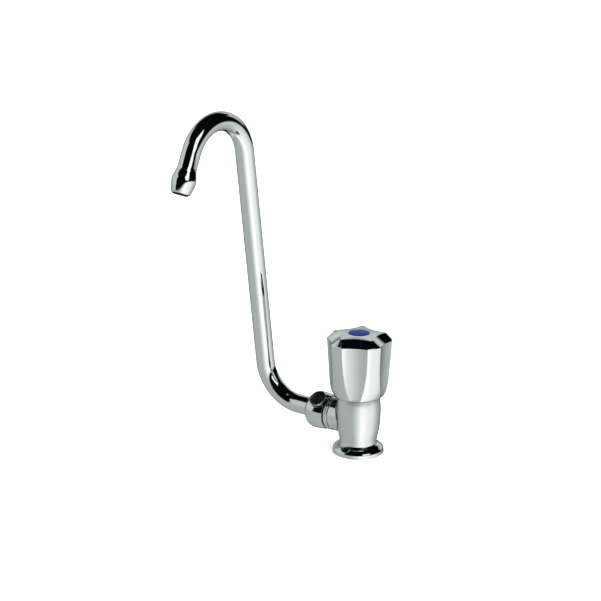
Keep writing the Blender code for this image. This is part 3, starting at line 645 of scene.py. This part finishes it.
def nut_rows(n=120):
    """A six-sided nut: flats, a turned chamfer at both ends, and a bore that clears the thread."""
    a = np.arange(n) * 2 * math.pi / n
    c, s = np.cos(a), np.sin(a)
    hexagon = across(27)(a)
    rows = []
    for t in np.linspace(0, 1, 15):
        z = top - 7.0 * t
        depth = min(top - z, z - top + 7.0)
        r = np.minimum(hexagon, 12.9 + depth * 1.9)
        rows.append(np.stack([r * c, r * s, np.full(n, z)], axis=-1))
    for r, z in ((11.3, top - 7.0), (10.8, top - 6.5), (10.8, top - 0.5), (11.3, top)):
        rows.append(np.stack([r * c, r * s, np.full(n, z)], axis=-1))
    return rows


pts, faces = skin(nut_rows(), True)
dress(mesh_of("backnut_fine", pts, faces, sharp=22), BRASS, "tap", "turned_brass", "backnut")

# ---------------------------------------------------------------- hidden pieces keep their solids and get their finishes
for node, mat in {"foot_seal": RUBBER, "seat_washer": RUBBER, "washer_screw": BRASS, "valve_carrier": BRASS, "bonnet_seal": FIBRE,
                  "valve_bonnet": BRASS, "spindle": BRASS, "spindle_seal_lower": RUBBER, "spindle_seal_upper": RUBBER,
                  "spindle_clip": STEEL, "handle_screw": STEEL, "spigot_thread_seal": RUBBER, "swivel_seal_outer": RUBBER,
                  "swivel_seal_inner": RUBBER}.items():
    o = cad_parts[node]
    if o.data.materials:
        o.material_slots[0].material = mat
    else:
        o.data.materials.append(mat)


# ---------------------------------------------------------------- floor, light and camera
AZ, EL, F_PX, SIDE = math.radians(38.0), math.radians(16.8), 1982.0, 601.0
right = Vector((math.cos(AZ), math.sin(AZ), 0))
back = Vector((math.sin(AZ) * math.cos(EL), -math.cos(AZ) * math.cos(EL), math.sin(EL)))
up = back.cross(right)

floor_mat, nt, p = new_material("pale_floor")
p.inputs["Base Color"].default_value = (0.92, 0.92, 0.92, 1)
p.inputs["Roughness"].default_value = 0.9
p.inputs["Specular IOR Level"].default_value = 0.0
me = bpy.data.meshes.new("floor")
me.from_pydata([(-12, -12, -5e-5), (12, -12, -5e-5), (12, 12, -5e-5), (-12, 12, -5e-5)], [], [(0, 1, 2, 3)])
floor = bpy.data.objects.new("floor", me)
bpy.context.scene.collection.objects.link(floor)
me.materials.append(floor_mat)
floor.visible_glossy = False

# The studio round the tap: cards and dark openings, each a soft-edged patch of the sky round it. Azimuths are degrees
# clockwise from straight behind the tap, as the camera looks at it; elevations are degrees above the horizon.
world = bpy.data.worlds.new("studio")
bpy.context.scene.world = world
world.use_nodes = True
wnt = world.node_tree
turn = add(wnt, "ShaderNodeVectorRotate", rotation_type="Z_AXIS")
turn.inputs["Angle"].default_value = -AZ
wnt.links.new(add(wnt, "ShaderNodeTexCoord").outputs["Generated"], turn.inputs["Vector"])
direction = add(wnt, "ShaderNodeSeparateXYZ")
wnt.links.new(turn.outputs["Vector"], direction.inputs["Vector"])
flat = add(wnt, "ShaderNodeCombineXYZ")
wnt.links.new(direction.outputs["X"], flat.inputs["X"])
wnt.links.new(direction.outputs["Y"], flat.inputs["Y"])
heading_of = add(wnt, "ShaderNodeVectorMath", operation="NORMALIZE")
wnt.links.new(flat.outputs["Vector"], heading_of.inputs[0])


def step(value, a, b):
    """0 at a, 1 at b, eased between."""
    n = add(wnt, "ShaderNodeMapRange", interpolation_type="SMOOTHSTEP")
    n.inputs["From Min"].default_value = a
    n.inputs["From Max"].default_value = b
    wnt.links.new(value, n.inputs["Value"])
    return n.outputs["Result"]


def times(a, b):
    n = add(wnt, "ShaderNodeMath", operation="MULTIPLY")
    wnt.links.new(a, n.inputs[0])
    wnt.links.new(b, n.inputs[1])
    return n.outputs["Value"]


def within(az, half, soft):
    n = add(wnt, "ShaderNodeVectorMath", operation="DOT_PRODUCT")
    n.inputs[1].default_value = (math.sin(math.radians(az)), math.cos(math.radians(az)), 0)
    wnt.links.new(heading_of.outputs["Vector"], n.inputs[0])
    return step(n.outputs["Value"], math.cos(math.radians(min(180, half + soft))), math.cos(math.radians(max(0, half - soft))))


def above(el, soft):
    return step(direction.outputs["Z"], math.sin(math.radians(el - soft)), math.sin(math.radians(el + soft)))


def below(el, soft):
    return step(direction.outputs["Z"], math.sin(math.radians(el + soft)), math.sin(math.radians(el - soft)))


def patch(under, value, *masks):
    """Lays a patch of brightness value, where all its masks are, over what is there."""
    mask = masks[0]
    for m in masks[1:]:
        mask = times(mask, m)
    n = add(wnt, "ShaderNodeMix", data_type="RGBA")
    if isinstance(under, tuple):
        n.inputs["A"].default_value = (*under, 1)
    else:
        wnt.links.new(under, n.inputs["A"])
    n.inputs["B"].default_value = (*value, 1)
    wnt.links.new(mask, n.inputs["Factor"])
    return n.outputs["Result"]


def grey(v, tint=1.0):
    """Painted card: grey with a little green in it."""
    return (v * (1 - 0.095 * tint), v, v * (1 - 0.05 * tint))


WHITE = grey(1.26, 0.0)
DARK = (0.0015, 0.002, 0.0025)
sky = patch(DARK, (0.002, 0.003, 0.005), above(60, 15))
sky = patch(sky, (0.016, 0.024, 0.038), within(-57, 8, 6), above(50, 3), below(60, 5))
sky = patch(sky, grey(0.67), within(-78.5, 33.5, 3), below(43, 4))                  # card at the left
sky = patch(sky, grey(0.62), within(-6, 39, 4), below(35, 5))                       # backdrop
sky = patch(sky, grey(0.60), within(43, 11, 4), below(28, 4))
sky = patch(sky, grey(1.05), within(0, 30, 14), above(7, 4), below(26, 5))
sky = patch(sky, WHITE, within(139.5, 19.5, 3), above(12, 3), below(46, 3))         # lamp box at the right, towards the camera
sky = patch(sky, DARK, within(119, 10, 4), above(-1, 2), below(26, 8))
# the table, lit from the right and the front
sky = patch(sky, grey(0.52), within(180, 150, 20), below(-1, 3))
sky = patch(sky, grey(0.52), within(0, 60, 20), below(-3, 3))
sky = patch(sky, grey(0.58), within(45, 30, 20), below(-6, 4))
sky = patch(sky, DARK, within(66, 32, 6), above(-8.5, 1.5), below(4, 3))
sky = patch(sky, grey(0.85, 0.5), within(-20, 14, 12), below(-8, 5))
sky = patch(sky, grey(1.07, 0.4), within(140, 42, 36), below(-4, 4))
sky = patch(sky, WHITE, within(157, 17, 9), below(-4, 4))
sky = patch(sky, (0.03, 0.033, 0.033), within(-3, 16, 7), above(-48, 5), below(-23, 3))   # shade on the table behind
background = wnt.nodes["Background"]
wnt.links.new(sky, background.inputs["Color"])
background.inputs["Strength"].default_value = 1.0

lamp_data = bpy.data.lights.new("overhead", "SUN")
lamp_data.energy = 5.6
lamp_data.angle = math.radians(150)
lamp = bpy.data.objects.new("overhead", lamp_data)
bpy.context.scene.collection.objects.link(lamp)
lamp.rotation_euler = (math.radians(4), math.radians(3), 0)
lamp.visible_glossy = False

cam_data = bpy.data.cameras.new("camera")
cam = bpy.data.objects.new("camera", cam_data)
bpy.context.scene.collection.objects.link(cam)
cam_data.sensor_width = 36.0
cam_data.lens = F_PX / SIDE * 36.0
cam_data.clip_start, cam_data.clip_end = 0.01, 100.0
target = right * -0.03843 + up * 0.1002
cam.matrix_world = Matrix((( right.x, up.x, back.x, 0), (right.y, up.y, back.y, 0), (right.z, up.z, back.z, 0), (0, 0, 0, 1)))
cam.location = target + back * 1.324
bpy.context.scene.camera = cam
bpy.context.scene.view_settings.view_transform = "Standard"
